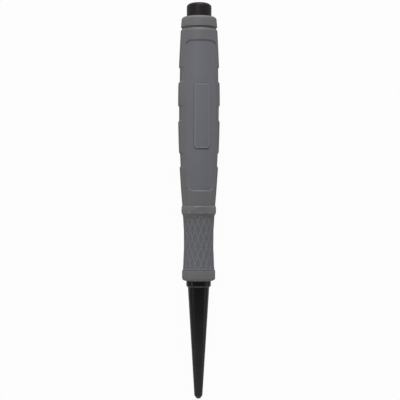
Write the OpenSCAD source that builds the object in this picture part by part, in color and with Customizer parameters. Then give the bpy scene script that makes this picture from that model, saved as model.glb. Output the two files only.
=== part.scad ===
// Nail setter: a one-piece steel punch held in a moulded grip of several sections.
// Each piece is drawn upright with its heights measured from the point, and the whole
// tool is then laid on its side: point towards -Y, struck end towards +Y, front panel up.

/* [Punch] */
// Length of the tapered point below the steel collar
point_l = 35.75; // [25:0.05:60]
// Length of the steel collar that shows below the grip
collar_l = 2.1; // [1.2:0.1:6]
// Length of the struck end that shows above the grip
head_l = 4.55; // [2.5:0.05:12]
// Diameter of the bar, as seen at the struck end
bar_d = 7.94; // [7.7:0.01:8.6]
// Diameter of the shank inside the grip, whose two shoulders keep the grip from creeping
shank_d = 7.4; // [6:0.05:7.6]
// Diameter of the steel collar
collar_d = 7.9; // [7.6:0.01:8.2]
// Bevel below the steel collar
collar_bevel = 0.45; // [0.1:0.05:0.6]
// Diameter of the point where it leaves the collar
taper_d = 6.86; // [4:0.02:6.9]
// Diameter of the point where its bevelled nose starts
tip_d = 2.6; // [1.8:0.1:3.6]
// Length of the bevelled nose
nose_l = 0.95; // [0.5:0.05:2]
// Diameter of the flat land that meets the nail
land_d = 1.1; // [1:0.1:1.6]
// Diameter of the cup in the land
cup_d = 0.7; // [0.4:0.05:0.9]
// Depth of the cup
cup_depth = 0.22; // [0.1:0.02:0.4]
// Diameter of the flat struck face
face_d = 3.7; // [3:0.1:6]
// Height of the rounding around the struck face
crown_h = 1.3; // [0.5:0.1:2]
// Width of each retaining groove inside the grip
keeper_w = 2.4; // [1:0.1:4]
// Depth of each retaining groove
keeper_depth = 0.4; // [0.2:0.05:0.8]

/* [Grip ends and waist] */
// Height of the foot ring
foot_l = 3.35; // [2:0.05:8]
// Diameter of the foot ring
foot_d = 10.64; // [10.3:0.02:14]
// Rounding under the foot ring
foot_round = 0.9; // [0.3:0.05:1.1]
// Relief between the steel collar and the flat under the foot ring, which rests on a rack
foot_relief = 0.12; // [0.08:0.02:0.16]
// Small rounding on the rims of the rings
rim_round = 0.3; // [0.1:0.05:0.6]
// Length of the waist between the foot ring and the finger band
waist_l = 17.95; // [10:0.05:30]
// Diameter of the waist at its ends
waist_end_d = 10.2; // [10:0.02:10.3]
// Diameter of the waist at its middle
waist_d = 9.5; // [9.3:0.02:10]
// Height of the finger band
band_l = 2.75; // [2:0.05:6]
// Diameter of the finger band
band_d = 11.12; // [10.9:0.02:14]
// How much smaller the finger band is at its rims than at its middle
band_swell = 0.12; // [0.04:0.01:0.2]
// Depth of the dimple in the finger band
dimple_depth = 0.12; // [0.08:0.02:0.3]
// Radius of the scoop that makes the dimple
dimple_scoop_r = 5; // [3:0.1:8]
// Sideways shift of the scoop's centre, which sets how wide the dimple is
dimple_shift = 1; // [0.5:0.1:3]
// Width of the groove between the barrel and the cap ring
groove_w = 0.55; // [0.4:0.05:2]
// Diameter at the bottom of that groove
groove_d = 10.8; // [9.4:0.1:10.8]
// Height of the cap ring
cap_l = 3.4; // [2.5:0.1:8]
// Diameter of the cap ring at its lower rim
cap_d = 11.64; // [11:0.05:14]
// Draft that narrows the cap ring towards its shoulder
cap_draft = 0.25; // [0:0.01:0.3]
// Rounding of the cap ring's shoulder
cap_round = 0.95; // [0.4:0.05:1.4]

/* [Barrel] */
// Length of the barrel
barrel_l = 56.6; // [40:0.05:90]
// Diameter at the bottom of the barrel
barrel_foot_d = 10.56; // [10.3:0.02:11.5]
// Diameter at the belly
belly_d = 13.42; // [12.4:0.02:18]
// Diameter at the top of the barrel
barrel_top_d = 11.74; // [11.2:0.02:14]
// Height of the belly above the bottom of the barrel
belly_h = 32.9; // [24:0.1:40]
// Bevel at the top rim of the barrel
barrel_bevel = 0.4; // [0.1:0.02:0.5]
// Depth of the side notches
notch_depth = 0.34; // [0.1:0.02:0.5]
// Slanted run at each end of a notch
notch_ramp = 0.5; // [0.2:0.05:1]
// Sideways shift of the notches' centre, which sets how soon they fade
notch_shift = 2.7; // [1.5:0.1:5]
// Height of the lower notch above the bottom of the barrel
notch_low_h = 12.2; // [6:0.1:14]
// Length of the lower notch
notch_low_l = 4.9; // [2:0.1:6]
// Height of the middle notch above the bottom of the barrel
notch_mid_h = 26.85; // [20:0.05:29]
// Length of the middle notch
notch_mid_l = 5.4; // [2:0.1:7]
// Height of the upper notch above the bottom of the barrel
notch_high_h = 39.3; // [36:0.1:44]
// Length of the upper notch
notch_high_l = 5.2; // [2:0.1:7]
// How much deeper the upper notch is at its lower end
notch_high_heel = 0.1; // [0:0.01:0.15]

/* [Panels] */
// Height of the panels' lower edge above the bottom of the barrel
panel_low_h = 4.95; // [3:0.05:9]
// Gap between the panels' upper edge and the top of the barrel
panel_top_gap = 4.25; // [1.5:0.05:6]
// Angle that a panel spans to each side of its middle
panel_angle = 51; // [40:1:54]
// How far a panel is sunk below the barrel
panel_sink = 0.24; // [0.1:0.02:0.4]
// Thickness of a panel
panel_t = 0.7; // [0.4:0.05:0.8]
// How far the lower corners of a panel draw in
heel_in = 1.5; // [0.5:0.1:2.5]
// Length over which the lower corners draw in
heel_l = 7.5; // [3:0.1:10]
// Rounding of the upper corners of a panel
panel_round = 0.9; // [0.3:0.05:2]
// Width of the raised pad on the front panel
pad_w = 5.9; // [3:0.1:7]
// Length of the raised pad
pad_l = 20.6; // [8:0.1:30]
// Rounding of the raised pad's corners
pad_round = 1.3; // [0.4:0.1:1.5]
// Height of the middle of the pad above the bottom of the barrel
pad_h = 28.5; // [24:0.1:34]
// How far the pad stands above its panel
pad_rise = 0.22; // [0.1:0.02:0.24]

/* [Hidden] */
$fn = 96;
// Counts of steps along a curve
barrel_steps = 12;
corner_steps = 6;
// Slopes of the barrel where it meets the finger band and at its top rim
barrel_foot_slope_share = 0.09;
barrel_top_slope_share = -0.05;
// Places of the retaining grooves along the barrel
keeper_place_shares = [0.2, 0.5, 0.8];
// How far a cutting shape runs past what it cuts
overrun = 1;
// Angle of the scoop's arc to each side of its middle
scoop_sweep = 30;

bar_r = bar_d / 2;
shank_r = shank_d / 2;
belly_r = belly_d / 2;
foot_z = point_l + collar_l;
waist_z = foot_z + foot_l;
band_z = waist_z + waist_l;
barrel_z = band_z + band_l;
groove_z = barrel_z + barrel_l;
cap_z = groove_z + groove_w;
grip_top_z = cap_z + cap_l;
punch_l = grip_top_z + head_l;
// Height of the punch's axis above the bench that the tool lies on
axis_h = belly_r - panel_sink;

// Points on a quarter of an ellipse, from [x0, y0] at the start to [x1, y1] at the end,
// leaving the start along y and meeting the end along x
function quarter(x0, y0, x1, y1) =
    [for (i = [0 : corner_steps])
        let (a = 90 * i / corner_steps)
        [x1 + (x0 - x1) * cos(a), y0 + (y1 - y0) * sin(a)]];

// Points on a quarter of an ellipse that leaves its start along x and meets its end along y
function quarter_out(x0, y0, x1, y1) =
    [for (i = [0 : corner_steps])
        let (a = 90 * i / corner_steps)
        [x0 + (x1 - x0) * sin(a), y1 + (y0 - y1) * cos(a)]];

// Value on a smooth curve between two stations, with a slope given at each
function between(a, b, slope_a, slope_b, run, t) =
    a * (2 * pow(t, 3) - 3 * pow(t, 2) + 1) + b * (3 * pow(t, 2) - 2 * pow(t, 3))
    + run * (slope_a * (pow(t, 3) - 2 * pow(t, 2) + t) + slope_b * (pow(t, 3) - pow(t, 2)));

// Radius of the barrel at a height above its bottom
function barrel_r(h) =
    h < belly_h
    ? between(barrel_foot_d / 2, belly_r, barrel_foot_slope_share, 0, belly_h, h / belly_h)
    : between(belly_r, barrel_top_d / 2, 0, barrel_top_slope_share, barrel_l - belly_h,
              (h - belly_h) / (barrel_l - belly_h));

// Heights at which the barrel's outline is drawn
function barrel_heights() = concat(
    [for (i = [0 : barrel_steps - 1]) belly_h * i / barrel_steps],
    [for (i = [0 : barrel_steps]) belly_h + (barrel_l - belly_h) * i / barrel_steps]);

// Outline of the barrel, drawn in by inset
function barrel_outline(inset) = [for (h = barrel_heights()) [barrel_r(h) - inset, h]];

// Half the width of a panel at a height above the bottom of the barrel
function panel_half(h) =
    let (rise = (h - panel_low_h) / heel_l, u = max(0, 1 - rise))
    barrel_r(h) * sin(panel_angle) - heel_in * (1 - sqrt(1 - pow(u, 2)));

// The right-hand side of a panel's outline, from its lower edge to its upper edge
function panel_side() =
    let (top = barrel_l - panel_top_gap, bend = top - panel_round, w = panel_half(bend))
    concat(
        [for (i = [0 : barrel_steps])
            let (h = panel_low_h + heel_l * pow(i / barrel_steps, 2)) [panel_half(h), h]],
        [for (i = [1 : barrel_steps])
            let (h = panel_low_h + heel_l + (bend - panel_low_h - heel_l) * i / barrel_steps)
            [panel_half(h), h]],
        quarter(w, bend, w - panel_round, top));

// Lays what is drawn upright on its side on the bench
module laid() {
    translate([0, -punch_l / 2, axis_h]) rotate([-90, 0, 0]) children();
}

// A closed outline turned about the punch's axis
module turned(outline) {
    rotate_extrude() polygon(outline);
}

// Prism of a panel's outline, from the axis out past the front of the barrel
module panel_prism() {
    side = panel_side();
    back = [for (i = [len(side) - 1 : -1 : 0]) [-side[i][0], side[i][1]]];
    rotate([90, 0, 0])
        linear_extrude(belly_r + overrun) polygon(concat(side, back));
}

// Prism of the raised pad's outline
module pad_prism() {
    inner_w = pad_w - 2 * pad_round;
    inner_l = pad_l - 2 * pad_round;
    rotate([90, 0, 0]) linear_extrude(belly_r + overrun) translate([0, pad_h]) union() {
        square([pad_w, inner_l], center = true);
        square([inner_w, pad_l], center = true);
        for (x = [-inner_w / 2, inner_w / 2])
            for (y = [-inner_l / 2, inner_l / 2])
                translate([x, y]) circle(pad_round);
    }
}

// Solid inside the barrel's surface, drawn in by inset, without its bore
module barrel_core(inset) {
    turned(concat([[0, 0]], barrel_outline(inset), [[0, barrel_l]]));
}

// The side notch that starts at height low, cut on the +X side, deeper by heel at that end
module notch(low, length, heel = 0) {
    far = belly_r + notch_shift + overrun;
    low_r = barrel_r(low) + notch_shift - heel;
    high_r = barrel_r(low + length) + notch_shift;
    ramp = notch_ramp * (far - low_r + notch_depth) / notch_depth;
    translate([-notch_shift, 0, 0]) turned([
        [low_r - notch_depth, low + notch_ramp],
        [far, low + notch_ramp - ramp],
        [far, low + length - notch_ramp + ramp],
        [high_r - notch_depth, low + length - notch_ramp]]);
}

// Steel punch in one piece, with its retaining grooves
module punch() {
    collar_r = collar_d / 2;
    keepers = [for (s = keeper_place_shares)
        let (z = barrel_z + barrel_l * s)
        each [[shank_r, z], [shank_r - keeper_depth, z],
              [shank_r - keeper_depth, z + keeper_w], [shank_r, z + keeper_w]]];
    color("#2b2928") laid() turned(concat(
        [[0, cup_depth], [cup_d / 2, 0], [land_d / 2, 0], [tip_d / 2, nose_l],
         [taper_d / 2, point_l], [collar_r - collar_bevel, point_l],
         [collar_r, point_l + collar_bevel], [collar_r, foot_z], [shank_r, foot_z]],
        keepers,
        [[shank_r, grip_top_z], [bar_r, grip_top_z]],
        quarter(bar_r, punch_l - crown_h, face_d / 2, punch_l),
        [[0, punch_l]]));
}

// Ring at the bottom of the grip, rounded underneath and relieved around the steel collar
module foot_ring() {
    foot_r = foot_d / 2;
    relief_r = collar_d / 2 + foot_relief;
    color("#626164") laid() translate([0, 0, foot_z]) turned(concat(
        [[shank_r, relief_r - shank_r], [relief_r, 0]],
        quarter_out(foot_r - foot_round, 0, foot_r, foot_round),
        quarter(foot_r, foot_l - rim_round, foot_r - rim_round, foot_l),
        [[shank_r, foot_l]]));
}

// Drawn-in sleeve between the foot ring and the finger band
module waist_sleeve() {
    end_r = waist_end_d / 2;
    dip = (waist_end_d - waist_d) / 2;
    color("#606165") laid() translate([0, 0, waist_z]) turned(concat(
        [[shank_r, 0]],
        [for (i = [0 : barrel_steps])
            [end_r - dip * sin(180 * i / barrel_steps), waist_l * i / barrel_steps]],
        [[shank_r, waist_l]]));
}

// The scoop that makes a dimple, cut on the +X side of the finger band
module dimple_scoop() {
    low_r = band_d / 2 - dimple_depth + dimple_shift;
    far = band_d / 2 + dimple_shift + overrun;
    half = dimple_scoop_r * sin(scoop_sweep);
    translate([-dimple_shift, 0, band_l / 2]) turned(concat(
        [[far, -half]],
        [for (i = [-corner_steps : corner_steps])
            let (a = scoop_sweep * i / corner_steps)
            [low_r + dimple_scoop_r * (1 - cos(a)), dimple_scoop_r * sin(a)]],
        [[far, half]]));
}

// Swelling band under the barrel, with a scooped dimple in front and behind
module finger_band() {
    rim_r = band_d / 2 - band_swell;
    color("#66656a") laid() translate([0, 0, band_z]) difference() {
        turned(concat(
            [[shank_r, 0]],
            quarter_out(rim_r - rim_round, 0, rim_r, rim_round),
            [[band_d / 2, band_l / 2]],
            quarter(rim_r, band_l - rim_round, rim_r - rim_round, band_l),
            [[shank_r, band_l]]));
        for (turn = [90, 270]) rotate(turn) dimple_scoop();
    }
}

// Long swelling part of the grip, notched at the sides and pocketed for the panels
module barrel_grip() {
    keys = [for (i = [len(keeper_place_shares) - 1 : -1 : 0])
        let (h = barrel_l * keeper_place_shares[i])
        each [[shank_r, h + keeper_w], [shank_r - keeper_depth, h + keeper_w],
              [shank_r - keeper_depth, h], [shank_r, h]]];
    neck_h = barrel_l + groove_w;
    rim_r = barrel_top_d / 2;
    color("#656568") laid() translate([0, 0, barrel_z]) difference() {
        turned(concat(
            [for (p = barrel_outline(0)) if (p[1] < barrel_l) p],
            [[rim_r, barrel_l - barrel_bevel], [rim_r - barrel_bevel, barrel_l],
             [groove_d / 2, barrel_l], [groove_d / 2, neck_h], [shank_r, neck_h]],
            keys,
            [[shank_r, 0]]));
        for (turn = [0, 180]) rotate(turn) {
            difference() {
                panel_prism();
                barrel_core(panel_sink + panel_t);
            }
            notch(notch_low_h, notch_low_l);
            notch(notch_mid_h, notch_mid_l);
            notch(notch_high_h, notch_high_l, notch_high_heel);
        }
    }
}

// Curved plate that lies in one of the barrel's pockets
module panel_plate() {
    intersection() {
        difference() {
            barrel_core(panel_sink);
            barrel_core(panel_sink + panel_t);
        }
        panel_prism();
    }
}

// Front panel with its plain raised pad
module front_panel() {
    color("#69696e") laid() translate([0, 0, barrel_z]) union() {
        panel_plate();
        intersection() {
            difference() {
                barrel_core(panel_sink - pad_rise);
                barrel_core(panel_sink + panel_t);
            }
            pad_prism();
        }
    }
}

// Back panel, plain
module back_panel() {
    color("#69696e") laid() translate([0, 0, barrel_z]) rotate(180) panel_plate();
}

// Ring at the struck end, with a round shoulder
module cap_ring() {
    cap_r = cap_d / 2;
    shoulder_r = cap_r - cap_draft;
    color("#6a696d") laid() translate([0, 0, cap_z]) turned(concat(
        [[shank_r, 0]],
        quarter_out(cap_r - rim_round, 0, cap_r, rim_round),
        quarter(shoulder_r, cap_l - cap_round, shoulder_r - cap_round, cap_l),
        [[shank_r, cap_l]]));
}

punch();
foot_ring();
waist_sleeve();
finger_band();
barrel_grip();
front_panel();
back_panel();
cap_ring();
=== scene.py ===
# %% [markdown]
# # A nail setter, from its solids to a finished picture
# A nail setter is a short steel punch that a carpenter holds on a finishing nail and taps, so
# that the nail's head sinks below the wood. This one is black steel in a moulded grey grip. The
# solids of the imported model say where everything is. Each cell below takes one piece or finish
# of the real tool, says how it could be made, and makes it. Everything is in metres.

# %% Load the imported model
from math import asin, atan, cos, exp, pi, radians, sin, sqrt, tau

import bmesh
import bpy
from mathutils import Matrix, Vector


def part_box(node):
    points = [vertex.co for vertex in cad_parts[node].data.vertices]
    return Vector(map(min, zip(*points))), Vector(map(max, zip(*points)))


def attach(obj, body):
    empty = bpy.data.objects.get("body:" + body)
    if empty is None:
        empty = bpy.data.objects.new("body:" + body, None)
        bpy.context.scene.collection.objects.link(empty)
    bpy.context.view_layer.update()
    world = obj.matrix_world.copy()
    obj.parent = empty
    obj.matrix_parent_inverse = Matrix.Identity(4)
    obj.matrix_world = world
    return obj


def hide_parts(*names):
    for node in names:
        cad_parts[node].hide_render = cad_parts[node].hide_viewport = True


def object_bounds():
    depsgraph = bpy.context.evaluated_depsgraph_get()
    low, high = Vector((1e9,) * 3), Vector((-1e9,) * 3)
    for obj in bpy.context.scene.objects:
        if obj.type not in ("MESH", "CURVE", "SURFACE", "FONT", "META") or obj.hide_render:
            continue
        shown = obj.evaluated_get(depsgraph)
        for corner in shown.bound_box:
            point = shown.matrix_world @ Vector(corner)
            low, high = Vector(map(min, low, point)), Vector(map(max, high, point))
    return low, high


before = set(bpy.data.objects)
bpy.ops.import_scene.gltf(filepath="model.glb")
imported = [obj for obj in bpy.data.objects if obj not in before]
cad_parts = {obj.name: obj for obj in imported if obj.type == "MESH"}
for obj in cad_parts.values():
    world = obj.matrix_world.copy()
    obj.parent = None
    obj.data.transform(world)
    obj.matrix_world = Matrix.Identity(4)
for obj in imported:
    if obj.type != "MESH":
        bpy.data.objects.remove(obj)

MM = 0.001
cad_low, cad_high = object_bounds()
print("solids:", sorted(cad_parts), "box in mm:", [round(v / MM, 2) for v in cad_high - cad_low])

# %% [markdown]
# ## Sizes
# The tool lies on its side, point towards -Y, and it is easier to draw it standing on its point.
# So every piece is built upright, with heights measured from the tip, and one matrix lays it
# down where the solids are. Places and main sizes come from the solids' boxes. Only the sizes
# that a box can't tell, such as the depth of a notch, are written here, in millimetres.

# %% Sizes read from the solids
length = cad_high.y - cad_low.y
punch_low, punch_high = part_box("punch")
axis_height = (punch_low.z + punch_high.z) / 2
LAY_DOWN = Matrix.Translation((0, cad_low.y, axis_height)) @ Matrix.Rotation(-pi / 2, 4, "X")


def span(node):
    """Heights above the tip at which a solid starts and ends."""
    low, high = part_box(node)
    return low.y - cad_low.y, high.y - cad_low.y


def radius(node):
    """Largest radius of a solid, across the tool."""
    low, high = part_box(node)
    return (high.x - low.x) / 2


foot_low, foot_high = span("foot_ring")
waist_low, waist_high = span("waist_sleeve")
band_low, band_high = span("finger_band")
barrel_low, neck_high = span("barrel_grip")
cap_low, cap_high = span("cap_ring")
bar_r = radius("punch")
shank_r = 3.7 * MM
print("grip from", round(foot_low / MM, 1), "to", round(cap_high / MM, 1), "mm above the tip")

# %% [markdown]
# ## Turned pieces
# A punch and the rings of its grip are round, so each starts as half an outline that is spun
# about the axis, as a lathe or a round mould would make it. The corners of the outline are drawn
# sharp, and the ring of edges that a corner leaves is bevelled afterwards. That is the way a
# turner works too, and it keeps each outline short. A real edge always has a small radius, and
# it is that radius which catches the light.

# %% Spin an outline and round its corners
TURN_STEPS = 256
TINY = 0.0001 * MM


def turn(outline, steps=TURN_STEPS):
    """A closed outline of (radius, height) corners, spun about the upright axis."""
    bm = bmesh.new()
    corners = [bm.verts.new((r, 0, h)) for r, h in outline]
    edges = [bm.edges.new(pair) for pair in zip(corners, corners[1:])]
    if outline[0][0] > 0:
        edges.append(bm.edges.new((corners[-1], corners[0])))
    bmesh.ops.spin(bm, geom=corners + edges, cent=(0, 0, 0), axis=(0, 0, 1), angle=tau,
                   steps=steps, use_merge=True, use_duplicate=False)
    bmesh.ops.remove_doubles(bm, verts=bm.verts, dist=TINY)
    return bm


def round_rings(bm, rings, segments=4):
    """Bevels the ring of edges at each (radius, height, size)."""
    for r, h, size in rings:
        on_ring = {v for v in bm.verts if abs(v.co.z - h) < TINY and abs(v.co.xy.length - r) < TINY}
        edges = [e for e in bm.edges if on_ring.issuperset(e.verts)]
        bmesh.ops.bevel(bm, geom=edges, offset=size, offset_type="OFFSET", affect="EDGES",
                        segments=segments, profile=0.5, material=-1, clamp_overlap=True)
    return bm


def arc(start, end, steps=8):
    """Points of a quarter ellipse that leaves start along the height and meets end across it."""
    return [(end[0] + (start[0] - end[0]) * cos(pi / 2 * i / steps),
             start[1] + (end[1] - start[1]) * sin(pi / 2 * i / steps)) for i in range(steps + 1)]


print("a turned piece has", TURN_STEPS, "columns of faces, unless it says otherwise")

# %% [markdown]
# ## From a drawing to a piece
# A mesh becomes a piece in the same few steps each time: its faces are turned outwards, it is
# laid down, and it is shaded smooth except where two faces meet at a clear angle. Then it rides
# on the tool's only body, and the solid it stands for is hidden. The place is in the mesh itself
# and not in the object, so every finish can read plain object coordinates.

# %% Lay a piece on the bench
def place(name, bm, node=None, sharp=38):
    """Lays an upright bmesh down on the bench and makes it a piece, sharp past an angle in degrees."""
    bmesh.ops.recalc_face_normals(bm, faces=bm.faces)
    bmesh.ops.transform(bm, matrix=LAY_DOWN, verts=bm.verts)
    mesh = bpy.data.meshes.new(name)
    bm.to_mesh(mesh)
    bm.free()
    mesh.shade_smooth()
    mesh.set_sharp_from_angle(angle=radians(sharp))
    piece = bpy.data.objects.new(name, mesh)
    bpy.context.scene.collection.objects.link(piece)
    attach(piece, "root")
    if node:
        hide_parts(node)
    print(name, "has", len(mesh.polygons), "faces")
    return piece


# %% [markdown]
# ## Punch
# One bar of tool steel. Its struck end is rounded over so that a hammer can't chip it, a short
# collar shows below the grip, and the point tapers down to a bevelled nose whose small cup
# keeps it on the nail's head. The part of the bar inside the grip is never seen, so it is plain.

# %% Turn the punch
collar_r = 3.95 * MM
collar_bevel = 0.47 * MM
collar_drop = 0.4 * MM
collar_run = 2.1 * MM
collar_base = foot_low - collar_run
collar_foot_r = collar_r - collar_drop
taper_r = 3.43 * MM
tip_r = 1.3 * MM
nose = 0.95 * MM
land_r = 0.55 * MM
cup_r = 0.35 * MM
cup_depth = 0.22 * MM
face_r = 1.85 * MM
crown = 1.3 * MM
fine_edge = 0.05 * MM
collar_edge = 0.1 * MM
nose_edge = 0.25 * MM

bm = turn([
    (0, cup_depth), (cup_r, 0), (land_r, 0), (tip_r, nose), (taper_r, collar_base),
    (collar_foot_r, collar_base), (collar_r, collar_base + collar_bevel),
    (collar_r, foot_low), (shank_r, foot_low), (shank_r, cap_high), (bar_r, cap_high),
    *arc((bar_r, length - crown), (face_r, length)), (0, length)])
round_rings(bm, [
    (land_r, 0, fine_edge), (tip_r, nose, nose_edge),
    (taper_r, collar_base, fine_edge), (collar_foot_r, collar_base, fine_edge),
    (collar_r, collar_base + collar_bevel, collar_edge)])
punch = place("punch_steel", bm, "punch")

# %% [markdown]
# ## Foot ring and cap ring
# The two ends of the grip are plain rings. The lower one is rounded underneath, where it would
# sit on a rack. The upper one has a soft round shoulder and a little draft, because a mould has
# to let it go.

# %% Turn the two end rings
seam_round = 0.12 * MM
foot_r = radius("foot_ring")
foot_round = 0.9 * MM
bm = turn([(shank_r, foot_low), (foot_r, foot_low), (foot_r, foot_high), (shank_r, foot_high)])
round_rings(bm, [(foot_r, foot_low, foot_round), (foot_r, foot_high, seam_round)], segments=7)
foot = place("foot_ring_moulded", bm, "foot_ring")

cap_r = radius("cap_ring")
cap_draft = 0.25 * MM
cap_top_r = cap_r - cap_draft
cap_round = 0.95 * MM
bm = turn([(shank_r, cap_low), (cap_r, cap_low), (cap_top_r, cap_high), (shank_r, cap_high)])
round_rings(bm, [(cap_top_r, cap_high, cap_round), (cap_r, cap_low, seam_round)], segments=8)
cap = place("cap_ring_moulded", bm, "cap_ring")

# %% [markdown]
# ## Rows that are close only where they need to be
# The barrel swells, and it has notches and pockets whose edges turn within a tenth of a
# millimetre. One even grid fine enough for those edges would be far too heavy. So the outline's
# rows are spaced widely on the plain stretches and closely at each edge, and the same idea is
# used across the barrel further down. Two small curves, a smooth step and a soft minimum, blend
# one shape into the next.

# %% Heights of the rows, and two ways to blend
def rows(low, high, spacing, fine=()):
    """Heights from low to high, with closer ones around each (height, reach, spacing)."""
    count = round((high - low) / spacing)
    heights = [low + (high - low) * i / count for i in range(count + 1)]
    for centre, reach, step in fine:
        near = round(reach / step)
        heights = [h for h in heights if abs(h - centre) > reach + step / 2 or h in (low, high)]
        heights += [centre + step * i for i in range(-near, near + 1) if low < centre + step * i < high]
    return sorted(heights)


def smooth(x, low, high):
    """0 below low, 1 above high, and an even curve between them."""
    t = min(1, max(0, (x - low) / (high - low)))
    return t * t * (3 - 2 * t)


def soft_min(a, b, blend):
    """The smaller of two lengths, rounded where they cross."""
    mix = max(0, blend - abs(a - b)) / blend
    return min(a, b) - mix * mix * blend / 4


print("smooth step at each quarter:", [smooth(quarters, 0, 4) for quarters in range(5)])

# %% [markdown]
# ## Finger band
# A swelling ring that the thumb and finger meet, with a shallow oval dimple on its front and its
# back, a little below its middle. The dimple could be cut with a boolean, which leaves a ragged
# rim on so small a part. Here the ring is spun with close rows, and each vertex keeps the
# smaller of two radii: the ring's own and that of a scoop, which is the inside of a larger ring
# centred further back. The close rows stop short of the two ends, because a bevel can't be
# larger than the face beside it.

# %% Turn the finger band and scoop its dimples
band_r = radius("finger_band")
band_swell = 0.14 * MM
band_rim = 0.1 * MM
band_shoulder = 0.24 * MM
band_margin = 0.03 * MM
band_spacing = 0.06 * MM
band_mid = (band_low + band_high) / 2
dimple_depth = 0.13 * MM
dimple_drop = 0.25 * MM
scoop_mid = band_mid - dimple_drop
scoop_r = 9.0 * MM
scoop_shift = 2.9 * MM
scoop_blend = 0.02 * MM
bore_clearance = 0.3 * MM


def band_radius(h):
    """Radius of the band, largest at its middle."""
    off = (h - band_mid) / (band_high - band_mid)
    return band_r - band_swell * off * off


def scooped(r, h, angle):
    """Radius after the scoop, where angle is measured from the nearer of front and back."""
    reach = band_r - dimple_depth + scoop_shift + scoop_r - sqrt(scoop_r ** 2 - (h - scoop_mid) ** 2)
    floor = sqrt(reach ** 2 - (scoop_shift * sin(angle)) ** 2) - scoop_shift * cos(angle)
    return soft_min(r, floor, scoop_blend)


def press_dimples(bm):
    """Presses an oval into the front and the back of the band, and leaves its bore alone."""
    for v in bm.verts:
        if abs(v.co.y) > shank_r + bore_clearance:
            r = v.co.xy.length
            v.co.xy *= scooped(r, v.co.z, atan(abs(v.co.x / v.co.y))) / r


first_row = band_low + band_rim + band_margin
last_row = band_high - band_shoulder - band_margin
wall = [(band_radius(h), h) for h in (band_low, *rows(first_row, last_row, band_spacing), band_high)]
bm = turn([(shank_r, band_low), *wall, (shank_r, band_high)])
round_rings(bm, [(*wall[0], band_rim), (*wall[-1], band_shoulder)])
press_dimples(bm)
band = place("finger_band_moulded", bm, "finger_band")

# %% [markdown]
# ## Barrel
# The long swelling part has three shallow notches down each side and a sunk panel in front and
# behind. Its outline is a smooth curve through three stations: the foot, the belly and the top.
# The pocket of a panel has a slanted edge at its lower corners, and a grid that ignored that
# edge would cut it into steps. So the columns of the grid are bent to run along it: on every
# row, the same few columns are gathered at the pocket's edge, wherever that edge is.

# %% Outline of the barrel
groove_width = 0.55 * MM
barrel_high = cap_low - groove_width
barrel_length = barrel_high - barrel_low
belly = 32.9 * MM
belly_r = radius("barrel_grip")
foot_end_r = 5.28 * MM
top_r = 5.87 * MM
foot_slope = 0.09
top_slope = -0.05
groove_r = 5.4 * MM
barrel_bevel = 0.52 * MM
barrel_drop = 0.36 * MM


def between(a, b, slope_a, slope_b, run, t):
    """Value on a smooth curve from a to b, with a slope given at each end."""
    return (a * (2 * t ** 3 - 3 * t ** 2 + 1) + b * (3 * t ** 2 - 2 * t ** 3)
            + run * (slope_a * (t ** 3 - 2 * t ** 2 + t) + slope_b * (t ** 3 - t ** 2)))


def barrel_radius(h):
    """Radius of the barrel, h above its own foot."""
    if h < belly:
        return between(foot_end_r, belly_r, foot_slope, 0, belly, h / belly)
    run = barrel_length - belly
    return between(belly_r, top_r, 0, top_slope, run, (h - belly) / run)


print("barrel:", [round(barrel_radius(barrel_length * i / 4) / MM, 2) for i in range(5)], "mm radius")

# %% [markdown]
# ## Notches
# Each notch is a shallow flat-bottomed cut, so that the fingers find the tool's sides. Its floor
# is a straight line between the barrel's radii at its two ends, let in by the depth, and it
# climbs back to the surface over a short ramp. As with the dimples, the floor belongs to a
# larger ring centred past the axis, which is what makes the cut run out towards the front.

# %% Notches in the sides
NOTCHES = [  # where each starts, how long it is, and how much deeper its lower end goes
    (12.2 * MM, 4.9 * MM, 0),
    (26.85 * MM, 5.4 * MM, 0),
    (39.3 * MM, 5.2 * MM, 0.1 * MM)]
notch_depth = 0.34 * MM
notch_ramp = 0.5 * MM
notch_shift = 2.7 * MM
notch_blend = 0.05 * MM


def notched(r, h, side_angle):
    """Radius after the notches, where side_angle is measured from the nearer side."""
    for low, run, heel in NOTCHES:
        t = min(1, max(0, (h - low) / run))
        floor = (barrel_radius(low) - heel) * (1 - t) + barrel_radius(low + run) * t - notch_depth
        outside = max(0, low + notch_ramp - h, h - (low + run - notch_ramp))
        cut = floor + notch_shift + outside * notch_depth / notch_ramp
        reach = cut ** 2 - (notch_shift * sin(side_angle)) ** 2
        r = soft_min(r, sqrt(reach) - notch_shift * cos(side_angle), notch_blend)
    return r


for low, run, _ in NOTCHES:
    h = low + run / 2
    cut_in = barrel_radius(h) - notched(barrel_radius(h), h, 0)
    print("notch at", round(h / MM, 1), "mm above the barrel's foot, cut in", round(cut_in / MM, 2), "mm")

# %% [markdown]
# ## Pockets of the panels
# Front and back, a panel lies in a pocket of the barrel. The pocket is as wide as a fixed angle
# of the barrel for most of its length, draws in on a long curve towards the foot, and has small
# round corners at the top. Its edge is a worn slope and then a steep wall, which leaves the
# fine pale line that a rubbed moulding shows there.

# %% Outline of a panel
panel_low = 4.95 * MM
panel_high = barrel_length - 4.25 * MM
panel_angle = radians(51)
panel_sink = 0.24 * MM
panel_thick = 0.7 * MM
heel_in = 1.5 * MM
heel_run = 7.5 * MM
panel_round = 0.9 * MM


def corner(x):
    """How far a quarter circle of size 1 has drawn in, x along it."""
    x = min(1, max(0, x))
    return 1 - sqrt(1 - x * x)


def panel_half_angle(h):
    """Angle from the middle of a panel to its edge, h above the barrel's foot."""
    h = min(panel_high, max(panel_low, h))
    r = barrel_radius(h)
    half = r * sin(panel_angle)
    half -= heel_in * corner((panel_low + heel_run - h) / heel_run)
    half -= panel_round * corner((h - panel_high + panel_round) / panel_round)
    return asin(half / r)


print("panel:", round(2 * belly_r * sin(panel_angle) / MM, 1), "mm wide at the belly")

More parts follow.
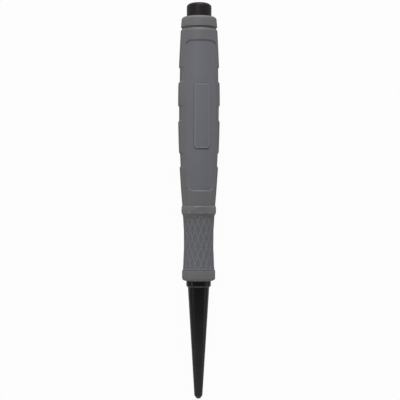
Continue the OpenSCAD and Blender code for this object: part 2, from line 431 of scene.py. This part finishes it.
# %% Bend the grid to the pocket's edge and sink the pocket
lip = 0.42 * MM
lip_inside = 0.1 * lip
wall_run = 0.08 * MM
front_share = 0.55
edge_columns = 10
quadrant = TURN_STEPS // 4
first_column = round(quadrant * front_share)
lip_start = pi / 2 * first_column / quadrant
lip_end = pi / 2 * (first_column + edge_columns) / quadrant


def bend(angle, inner, outer):
    """Moves a column's angle so that the edge columns gather between inner and outer."""
    if angle < lip_start:
        return angle * inner / lip_start
    if angle < lip_end:
        return inner + (outer - inner) * (angle - lip_start) / (lip_end - lip_start)
    return outer + (pi / 2 - outer) * (angle - lip_end) / (pi / 2 - lip_end)


def sunk(inside):
    """Depth of the pocket's wall, a length inside its edge: a worn slope, then a steep drop."""
    return panel_sink * smooth(inside, -lip, lip_inside) + panel_thick * smooth(inside, 0, wall_run)


def barrel_point(co):
    """Where a vertex of the barrel's plain wall goes."""
    h = co.z - barrel_low
    r = barrel_radius(h)
    front = atan(abs(co.x) / abs(co.y)) if abs(co.y) > TINY else pi / 2
    edge = panel_half_angle(h)
    angle = bend(front, edge - wall_run / r, edge + lip / r)
    inside = min((edge - angle) * r, h - panel_low, panel_high - h)
    r = notched(r, h, pi / 2 - angle) - sunk(inside)
    side = 1 if co.x >= 0 else -1
    face = 1 if co.y >= 0 else -1
    return Vector((side * sin(angle) * r, face * cos(angle) * r, co.z))


print("pocket edge:", edge_columns, "of the", quadrant, "columns of a quarter turn")

# %% Turn the barrel and press its notches and pockets
plain_spacing = 0.5 * MM
close_spacing = 0.08 * MM
notch_reach = 0.5 * MM
notch_edge = 0.2 * MM
corner_reach = 0.4 * MM
wall_top = barrel_length - barrel_bevel
wall_tolerance = 10 * TINY


def on_wall(v):
    """Whether a vertex is on the barrel's outer wall, below its bevelled top."""
    h = v.co.z - barrel_low
    return h < wall_top + TINY and abs(v.co.xy.length - barrel_radius(h)) < wall_tolerance


edges_of_notches = [low + side for low, run, _ in NOTCHES for side in (notch_edge, run - notch_edge)]
heights = rows(0, wall_top, plain_spacing, [
    *[(h, notch_reach, close_spacing) for h in edges_of_notches],
    (panel_low + corner_reach, corner_reach, close_spacing),
    (panel_high - corner_reach, corner_reach, close_spacing),
    (panel_low - lip / 2, lip, wall_run / 2),
    (panel_high + lip / 2, lip, wall_run / 2)])
bm = turn([
    (shank_r, barrel_low), *[(barrel_radius(h), barrel_low + h) for h in heights],
    (top_r - barrel_drop, barrel_high), (groove_r, barrel_high),
    (groove_r, neck_high), (shank_r, neck_high)])
for v in bm.verts:
    if on_wall(v):
        v.co = barrel_point(v.co)
barrel = place("barrel_moulded", bm, "barrel_grip")

# %% [markdown]
# ## Panels and pad
# A panel is a thin curved plate that fills its pocket to just below the rim. It starts as a flat
# grid whose rows are stretched to the panel's outline and wrapped on the barrel, and Solidify
# gives it its thickness. The front panel carries a plain raised pad with rounded corners, made
# the same way with a smaller outline and an edge that rolls over. The rows and columns of the
# grid crowd towards its edges, so that this small roll has enough of them. Each vertex also
# keeps its distance from the edge, in millimetres, as an attribute for a finish that paints a
# highlight and a shade line there.

# %% Wrap a plate on the barrel
def wrapped_plate(half_angle, low, high, inset, thickness, facing=-1, roll=TINY, columns=64, count=160):
    """A plate whose top lies inset below the barrel, with its half-angle given by height."""
    bm = bmesh.new()
    bmesh.ops.create_grid(bm, x_segments=columns, y_segments=count, size=1)
    edge_distance = bm.verts.layers.float.new("edge_distance")
    for v in bm.verts:
        h = (low + high) / 2 + (high - low) / 2 * sin(v.co.y * pi / 2)
        across = sin(v.co.x * pi / 2)
        angle = across * half_angle(h)
        r = barrel_radius(h) - inset
        from_edge = min((1 - abs(across)) * half_angle(h) * r, h - low, high - h)
        v[edge_distance] = from_edge / MM
        r -= roll * corner(1 - from_edge / roll)
        v.co = (sin(angle) * r, facing * cos(angle) * r, barrel_low + h)
    bmesh.ops.recalc_face_normals(bm, faces=bm.faces)
    outward = sum((f.normal * f.calc_area() for f in bm.faces), Vector())
    if outward.y * facing < 0:
        bmesh.ops.reverse_faces(bm, faces=bm.faces)
    bmesh.ops.solidify(bm, geom=bm.faces[:], thickness=thickness)
    return bm


front = place("front_panel_moulded",
              wrapped_plate(panel_half_angle, panel_low, panel_high, panel_sink, panel_thick),
              "front_panel")
back = place("back_panel_moulded",
             wrapped_plate(panel_half_angle, panel_low, panel_high, panel_sink, panel_thick, facing=1),
             "back_panel")

# %% Raised pad on the front panel
pad_half = 2.64 * MM
pad_low = 18.1 * MM
pad_high = 39.0 * MM
pad_round = 1.3 * MM
pad_rise = 0.22 * MM
pad_roll = 0.2 * MM


def pad_half_angle(h):
    """Angle from the middle of the pad to its edge."""
    half = pad_half - pad_round * max(corner((pad_low + pad_round - h) / pad_round),
                                      corner((h - pad_high + pad_round) / pad_round))
    return asin(half / barrel_radius(h))


pad = place("plain_pad", wrapped_plate(pad_half_angle, pad_low, pad_high, panel_sink - pad_rise,
                                       2 * pad_rise, roll=pad_roll, columns=48))

# %% [markdown]
# ## Waist sleeve
# The drawn-in waist is covered by a lattice of fine raised lines that cross in long diamonds,
# which keeps the tool from slipping. A bump map could fake it, but the lattice shows in the
# outline and in grazing light, so it is real relief here. Each vertex of a fine grid is let in by
# how far it is from a line, and how hollow that leaves it is kept as an attribute for the finish.
# The sleeve flares a little under the finger band, and a fine crease at its foot parts it from
# the ring below.

# %% Turn the waist and raise its lattice
waist_length = waist_high - waist_low
waist_end_r = 5.1 * MM
waist_dip = 0.35 * MM
flare = 0.09 * MM
flare_run = 1.2 * MM
diamonds_around = 16
diamond_length = 5.39 * MM
first_crossing = 1.86 * MM
line_height = 0.15 * MM
line_width = 0.2 * MM
plain_end = 0.25 * MM
plain_top = 0.3 * MM
crease = 0.14 * MM
crease_width = 0.3 * MM
waist_rows = 168
columns_each = 24


def waist_radius(h):
    """Radius of the waist, h above its foot, with a slight flare under the finger band."""
    dip = waist_dip * sin(pi * h / waist_length)
    return waist_end_r - dip + flare * (1 - smooth(waist_length - h, 0, flare_run))


def lattice(angle, h):
    """1 on a line of the lattice, falling to 0 in the diamonds."""
    across = diamonds_around * angle / tau
    along = (h - first_crossing) / diamond_length
    pitch = tau * waist_radius(h) / diamonds_around
    gap = min(abs(x - round(x)) for x in (across + along, across - along)) * pitch
    return exp(-(gap / line_width) ** 2)


wall = [(waist_radius(h), waist_low + h) for h in rows(0, waist_length, waist_length / waist_rows)]
bm = turn([(shank_r, waist_low), *wall, (shank_r, waist_high)], steps=diamonds_around * columns_each)
hollow = bm.verts.layers.float.new("hollow")
for v in bm.verts:
    h = v.co.z - waist_low
    if v.co.xy.length > shank_r + bore_clearance:
        angle = Vector((0, -1)).angle_signed(v.co.xy)
        from_end = min(h, waist_length - h - plain_top)
        v[hollow] = (1 - lattice(angle, h)) * smooth(from_end, plain_end, 2 * plain_end)
        drop = line_height * v[hollow] + crease * (1 - smooth(h, 0, crease_width))
        v.co.xy *= 1 - drop / v.co.xy.length
waist = place("waist_lattice", bm, "waist_sleeve", sharp=180)

# %% [markdown]
# ## Shader sums written as Python
# A finish is mostly arithmetic on noise. Dragging nodes about is slow to read and hard to
# change, so a socket is wrapped in a small class whose operators add the Math nodes. Anything
# that isn't plain arithmetic comes from one method that takes a node's type, its settings and
# its inputs. The same method serves the materials and the world.

# %% A socket that can be added and multiplied
class Value:
    """An output socket of a node tree, for use in Python expressions."""

    def __init__(self, nodes, socket):
        self.nodes = nodes
        self.socket = socket

    def maths(self, operation, first, second):
        return self.nodes.node("ShaderNodeMath", {"operation": operation}, {0: first, 1: second})

    def __add__(self, other):
        return self.maths("ADD", self, other)

    def __sub__(self, other):
        return self.maths("SUBTRACT", self, other)

    def __rsub__(self, other):
        return self.maths("SUBTRACT", other, self)

    def __mul__(self, other):
        return self.maths("MULTIPLY", self, other)

    __radd__ = __add__
    __rmul__ = __mul__


class Nodes:
    """A node tree whose nodes are added by kind."""

    def __init__(self, tree):
        self.tree = tree

    def feed(self, node, inputs):
        """Sets or links a node's inputs."""
        for key, value in inputs.items():
            if isinstance(value, Value):
                self.tree.links.new(value.socket, node.inputs[key])
            else:
                node.inputs[key].default_value = value

    def node(self, kind, settings=None, inputs=None, output=0):
        """Adds a node, sets it up first and then feeds it, and wraps the output asked for."""
        node = self.tree.nodes.new(kind)
        for key, value in (settings or {}).items():
            setattr(node, key, value)
        self.feed(node, inputs or {})
        return Value(self, node.outputs[output])


# %% A finish, and the words it is written in
# The Mix node has a set of sockets for each kind of data, so those of a colour go by number.
MIX_AMOUNT = 0
MIX_FIRST = 6
MIX_SECOND = 7
MIX_RESULT = 2


class Finish(Nodes):
    """A material with one principled shader, whose even values are given by name."""

    def __init__(self, name, slot=None, **even):
        self.material = bpy.data.materials.new(name)
        self.material.use_nodes = True
        super().__init__(self.material.node_tree)
        self.tree.nodes.clear()
        self.shader = self.tree.nodes.new("ShaderNodeBsdfPrincipled")
        self.output = self.tree.nodes.new("ShaderNodeOutputMaterial")
        self.tree.links.new(self.shader.outputs[0], self.output.inputs["Surface"])
        self.slot = slot
        self.feed(self.shader, {key.replace("_", " "): value for key, value in even.items()})

    def noise(self, where, scale, detail=2.0, roughness=0.5):
        return self.node("ShaderNodeTexNoise", {}, {
            "Vector": where, "Scale": scale, "Detail": detail, "Roughness": roughness})

    def ramp(self, value, low, high):
        """0 at low and beyond it, 1 at high and beyond it, whichever of the two is larger."""
        return self.node("ShaderNodeMapRange", {"clamp": True, "interpolation_type": "SMOOTHSTEP"}, {
            "Value": value, "From Min": low, "From Max": high})

    def mix(self, amount, first, second):
        """A colour between two colours."""
        return self.node("ShaderNodeMix", {"data_type": "RGBA"}, {
            MIX_AMOUNT: amount, MIX_FIRST: first, MIX_SECOND: second}, MIX_RESULT)

    def stretch(self, where, scale):
        """Coordinates stretched along each axis."""
        return self.node("ShaderNodeMapping", {}, {"Vector": where, "Scale": scale})

    def attribute(self, name):
        """A number that each vertex of the piece carries."""
        return self.node("ShaderNodeAttribute", {"attribute_name": name}, output="Fac")

    def grazing(self):
        """0 where the surface faces the eye and 1 where it is seen edge on."""
        return self.node("ShaderNodeLayerWeight", inputs={"Blend": 0.5}, output="Facing")

    def bump(self, height, distance):
        return self.node("ShaderNodeBump", {}, {"Height": height, "Distance": distance, "Strength": 1.0})

    def wear(self, *pieces):
        """Gives the finish to pieces."""
        for piece in pieces:
            piece.data.materials.clear()
            piece.data.materials.append(self.material)
            print(self.material.name, "on", piece.name)


def grey(level, tint=(1.0, 1.0, 1.0)):
    """A colour of one level with a slight tint."""
    return tuple(level * t for t in tint) + (1.0,)


# %% [markdown]
# ## Moulded grip
# The grip is a soft vinyl with a satin skin. It isn't one flat grey: the mould leaves a fine
# grain, handling polishes it in broad patches, and there are a few pale scuffs. The panels were
# polished in the mould, so they are smoother and a touch bluer. The hollows of the lattice are
# darker, partly with dirt and partly with painted shade. The hand rubs the finger band most, so
# it shines more than the rest. Round the raised pad's edge runs a painted shade line at its foot,
# with a painted highlight just inside it. A grained skin also loses its gloss at a grazing
# angle, where its bumps hide each other, so Layer Weight makes it rougher there.

# %% Mix the vinyl
MICRON = 0.000001
patch_swing = 0.07
speckle_share = 0.3
speckle_shade = 0.86
scuff_share = 0.3
scuff_shade = 1.5
scuff_polish = 0.06
# The hollows of the lattice are darkened: partly dirt, partly painted shade.
hollow_dirt_and_shade_share = 0.9
hollow_dirt_and_shade = 0.7
hollow_dirt_and_shade_tint = (0.97, 1.0, 1.1)
# A painted highlight just inside a raised edge, and a painted shade line at its foot.
edge_painted_highlight = 1.3
edge_highlight_from = 0.6
edge_highlight_full = 0.4
edge_painted_shade = 0.3
edge_shade_from = 0.24
edge_shade_full = 0.12
grazing_dulls = 0.5


def grip_finish(name, slot, level, tint, roughness, grain, gloss=0.14, hollows=None, edges=None):
    """Satin vinyl of one grey; hollows get dirt and painted shade, edges painted light and shade."""
    finish = Finish(name, slot, Specular_IOR_Level=gloss, IOR=1.46)
    where = finish.node("ShaderNodeTexCoord", output="Object")
    patches = finish.noise(where, scale=110, detail=3.0)
    speckle = finish.noise(where, scale=5200)
    pores = finish.noise(where, scale=1900)
    streaks = finish.noise(finish.stretch(where, (900, 260, 900)), scale=1.0, detail=4.0, roughness=0.62)
    scuffs = finish.ramp(streaks, low=0.66, high=0.78)
    specks = finish.ramp(speckle, low=0.3, high=0.75)
    darker = grey(level * (1 - patch_swing), tint)
    paler = grey(level * (1 + patch_swing), tint)
    shade = finish.mix(patches, darker, paler)
    shade = finish.mix(specks * speckle_share, shade, grey(level * speckle_shade, tint))
    shade = finish.mix(scuffs * scuff_share, shade, grey(level * scuff_shade, tint))
    if hollows:
        # Darkens the lattice's hollows: partly dirt, partly painted shade.
        deep = finish.attribute(hollows)
        shade = finish.mix(deep * hollow_dirt_and_shade_share, shade, grey(level * hollow_dirt_and_shade, hollow_dirt_and_shade_tint))
    if edges:
        inside = finish.attribute(edges)
        # A painted highlight just inside the pad's edge, and a painted shade line at its foot.
        edge_highlight = finish.ramp(inside, edge_highlight_from, edge_highlight_full)
        edge_shade = finish.ramp(inside, edge_shade_from, edge_shade_full)
        shade = finish.mix(edge_highlight, shade, grey(level * edge_painted_highlight, tint))
        shade = finish.mix(edge_shade, shade, grey(level * edge_painted_shade, tint))
    dulled = finish.ramp(finish.grazing(), low=0.45, high=0.8)
    finish.feed(finish.shader, {
        "Base Color": shade,
        "Roughness": roughness + patches * 0.1 - scuffs * scuff_polish + dulled * grazing_dulls,
        "Normal": finish.bump(speckle * 0.7 + pores * 0.3, grain)})
    return finish


# %% Dress the grip
grip_tint = (1.01, 0.98, 1.01)
lattice_tint = (1.0, 0.98, 1.01)
panel_look = {"level": 0.142, "tint": (1.01, 1.01, 1.11), "roughness": 0.42, "grain": 7 * MICRON}
grip_smooth = grip_finish("grip_vinyl", "grip_smooth", level=0.14, tint=grip_tint,
                          roughness=0.38, grain=12 * MICRON)
grip_handled = grip_finish("grip_handled_vinyl", "grip_smooth", level=0.134, tint=grip_tint,
                           roughness=0.3, grain=8 * MICRON, gloss=0.25)
grip_textured = grip_finish("grip_lattice_vinyl", "grip_textured", level=0.161, tint=lattice_tint,
                            roughness=0.45, grain=8 * MICRON, hollows="hollow")
grip_panel = grip_finish("grip_panel_vinyl", "grip_panel", **panel_look)
grip_pad = grip_finish("grip_pad_vinyl", "grip_panel", **panel_look, edges="edge_distance")

grip_smooth.wear(foot, barrel, cap)
grip_handled.wear(band)
grip_textured.wear(waist)
grip_panel.wear(front, back)
grip_pad.wear(pad)

# %% [markdown]
# ## Black oxide steel
# The punch was turned, ground along its taper and blackened. Black oxide is a thin dark skin on
# bright metal, so it is mostly a dark mirror with little colour of its own: nearly black where
# it faces the light squarely, and pale along its edges. Grinding leaves fine lines that run
# round the bar. The nose, which is used most, and the head are worn a little brighter. The edge
# of the collar is painted lighter, a painted highlight for the bright line it catches. Like the
# vinyl, the ground skin scatters more at a grazing angle, and without that the taper would vanish
# in glare when it is seen against the light.

# %% Wear and a painted highlight along the steel
nose_worn = 38 * MM
head_worn = 2 * MM
# Where the painted highlight on the collar's edge starts, is full, fades and is gone.
collar_highlight_from = -0.1 * MM
collar_highlight_full = 0.05 * MM
collar_highlight_fades = 0.4 * MM
collar_highlight_gone = 0.7 * MM

steel = Finish("black_oxide_steel", "black_steel", Specular_IOR_Level=0.1, IOR=1.45)
where = steel.node("ShaderNodeTexCoord", output="Object")
along = steel.node("ShaderNodeSeparateXYZ", {}, {0: where}, "Y")
grip_end = cad_low.y + cap_high
edge = cad_low.y + collar_base
nose_wear = steel.ramp(along, cad_low.y + nose_worn, cad_low.y)
head_wear = steel.ramp(along, grip_end - head_worn, grip_end)
# The collar's edge gets a painted highlight.
collar_painted_highlight = steel.ramp(along, edge + collar_highlight_from, edge + collar_highlight_full) * steel.ramp(
    along, edge + collar_highlight_gone, edge + collar_highlight_fades)
print("steel worn up to", round(nose_worn / MM), "mm above the tip")

# %% Blacken and dress the steel
warm = (1.1, 1.0, 0.98)
brown = (1.2, 1.0, 0.96)
nose_bared = 0.85
head_bared = 0.75
ground_roughness = 0.2
rings = steel.noise(steel.stretch(where, (60, 9000, 60)), scale=1.0, detail=3.0)
blotches = steel.noise(where, scale=240, detail=4.0, roughness=0.6)


def blotchy(dark, light):
    """A colour that wanders between two over the steel."""
    return steel.mix(blotches, dark, light)


oxide = blotchy(grey(0.0006, warm), grey(0.002, (1.12, 1.0, 0.96)))
oxide = steel.mix(nose_wear * nose_bared, oxide, blotchy(grey(0.02), grey(0.035)))
oxide = steel.mix(head_wear * head_bared, oxide, blotchy(grey(0.012, brown), grey(0.022, brown)))
# A painted highlight along the collar's edge.
oxide = steel.mix(collar_painted_highlight, oxide, blotchy(grey(0.02, warm), grey(0.045)))
dulled = steel.ramp(steel.grazing(), low=0.6, high=0.9)
steel.feed(steel.shader, {
    "Base Color": oxide,
    "Roughness": (ground_roughness + blotches * 0.12 + rings * 0.05 + head_wear * 0.1
                  + dulled * 0.4),
    "Normal": steel.bump(rings, 4 * MICRON)})
steel.wear(punch)

# %% [markdown]
# ## Floor and background
# The tool lies on a plain white bench. A camera, and anything shiny, should see that white as
# it is, while the bench still takes the tool's soft shadow. So the floor mixes an ordinary pale
# surface with a plain white glow that only the camera and reflections see, and lights nothing.
# The world does the same: it is plain white to the eye, and a weak even light to the tool.

# %% Lay the floor
seen_share = 0.962
floor_half = 2.0


def seen_directly(nodes):
    """1 for rays from the camera, from a reflection or through glass, and 0 for the rest."""
    camera, glossy, through = (nodes.node("ShaderNodeLightPath", output=name) for name in (
        "Is Camera Ray", "Is Glossy Ray", "Is Transmission Ray"))
    return nodes.node("ShaderNodeMath", {"operation": "ADD", "use_clamp": True},
                      {0: camera + glossy, 1: through})


bench = Finish("bench_white", Roughness=0.8)
where = bench.node("ShaderNodeTexCoord", output="Object")
bench.feed(bench.shader, {"Base Color": bench.mix(bench.noise(where, scale=40), grey(0.56), grey(0.58))})
glow = bench.node("ShaderNodeEmission", {}, {"Color": grey(1.0)})
mixed = bench.node("ShaderNodeMixShader", {}, {
    0: seen_directly(bench) * seen_share, 1: Value(bench, bench.shader.outputs[0]), 2: glow})
bench.feed(bench.output, {"Surface": mixed})

bm = bmesh.new()
bmesh.ops.create_grid(bm, x_segments=1, y_segments=1, size=floor_half)
floor_mesh = bpy.data.meshes.new("floor")
bm.to_mesh(floor_mesh)
bm.free()
floor_mesh.materials.append(bench.material)
floor = bpy.data.objects.new("floor", floor_mesh)
bpy.context.scene.collection.objects.link(floor)
print("floor:", 2 * floor_half, "m square")

# %% Whiten the room
ambient = 0.18

world = bpy.data.worlds.new("studio")
bpy.context.scene.world = world
world.use_nodes = True
room = Nodes(world.node_tree)
strength = room.node("ShaderNodeMapRange", {}, {"Value": seen_directly(room), "To Min": ambient})
room.feed(room.tree.nodes["Background"], {"Color": grey(1.0), "Strength": strength})
print("the room lights the tool at", ambient, "and looks white")

# %% [markdown]
# ## Camera
# The photograph looks straight down at the tool, head at the top of the picture, from a little
# to the left, so that the panel sits to the right of the middle. The camera is placed by that
# angle, its distance and the real width that its frame covers.

# %% Set the camera
IMAGE = 400
tool_pixels = 395.2
tip_pixel_y = 398.3
axis_pixel_x = 198.75
pixel = length / tool_pixels
camera_distance = 385 * MM
turned_left = radians(9)
rolled = radians(0.115)
nearest_seen = 10 * MM

target = Vector((0, 0, axis_height))
target.y = cad_low.y + (tip_pixel_y - IMAGE / 2) * pixel
away = Vector((-sin(turned_left), 0, cos(turned_left)))
right = Vector((cos(turned_left), 0, sin(turned_left)))
target += right * (IMAGE / 2 - axis_pixel_x) * pixel
up = away.cross(right)
turned = Matrix((right, up, away)).transposed().to_4x4()

camera_data = bpy.data.cameras.new("camera")
camera_data.angle = 2 * atan(IMAGE / 2 * pixel / camera_distance)
camera_data.clip_start = nearest_seen
camera = bpy.data.objects.new("camera", camera_data)
camera.matrix_world = (Matrix.Translation(target + away * camera_distance) @ turned
                       @ Matrix.Rotation(rolled, 4, "Z"))
bpy.context.scene.collection.objects.link(camera)
bpy.context.scene.camera = camera
print("camera sees", round(IMAGE * pixel / MM, 1), "mm")

# %% [markdown]
# ## Lights
# The light in the photograph is broad. Every shoulder that faces the struck end is bright and a
# little blue, so the strongest soft lamp stands beyond that end, quite low. The struck end and
# the upper left of the finger band shine a little, so a smaller lamp hangs above and beyond
# them. The dark steel of the point mirrors two soft bands, one down each side, which means a low
# lamp to the left and to the right, and thin bright lines on the edges that face the tip ask
# for a weak one there.

# %% Hang the lamps
WHITE = (1.0, 1.0, 1.0)


def lamp(name, place_at, width, height, power, colour=WHITE):
    """An area lamp that faces the tool, its width level with the bench."""
    data = bpy.data.lights.new(name, "AREA")
    data.shape = "RECTANGLE"
    data.size = width
    data.size_y = height
    data.energy = power
    data.color = colour
    made = bpy.data.objects.new(name, data)
    towards_lamp = Vector(place_at) - Vector((0, 0, axis_height))
    made.location = place_at
    made.rotation_euler = towards_lamp.to_track_quat("Z", "Y").to_euler()
    bpy.context.scene.collection.objects.link(made)
    print("lamp", name, "of", power, "W,", round(towards_lamp.length, 2), "m away")


lamp("beyond_the_head", (-0.03, 1.16, 0.53), width=0.63, height=0.42, power=18.5, colour=(0.93, 0.97, 1.0))
lamp("left_side", (-0.8, -0.16, 0.2), width=0.26, height=0.09, power=0.95, colour=(1.0, 0.94, 0.82))
lamp("right_side", (0.78, -0.16, 0.26), width=0.26, height=0.18, power=0.95, colour=(1.0, 0.78, 0.82))
lamp("beyond_the_tip", (0.0, -0.8, 0.1), width=1.0, height=0.16, power=2.4)
lamp("above_the_head", (-0.31, 0.34, 0.82), width=0.32, height=0.32, power=1.85, colour=(0.92, 0.96, 1.0))

view = bpy.context.scene.view_settings
view.view_transform = "Standard"
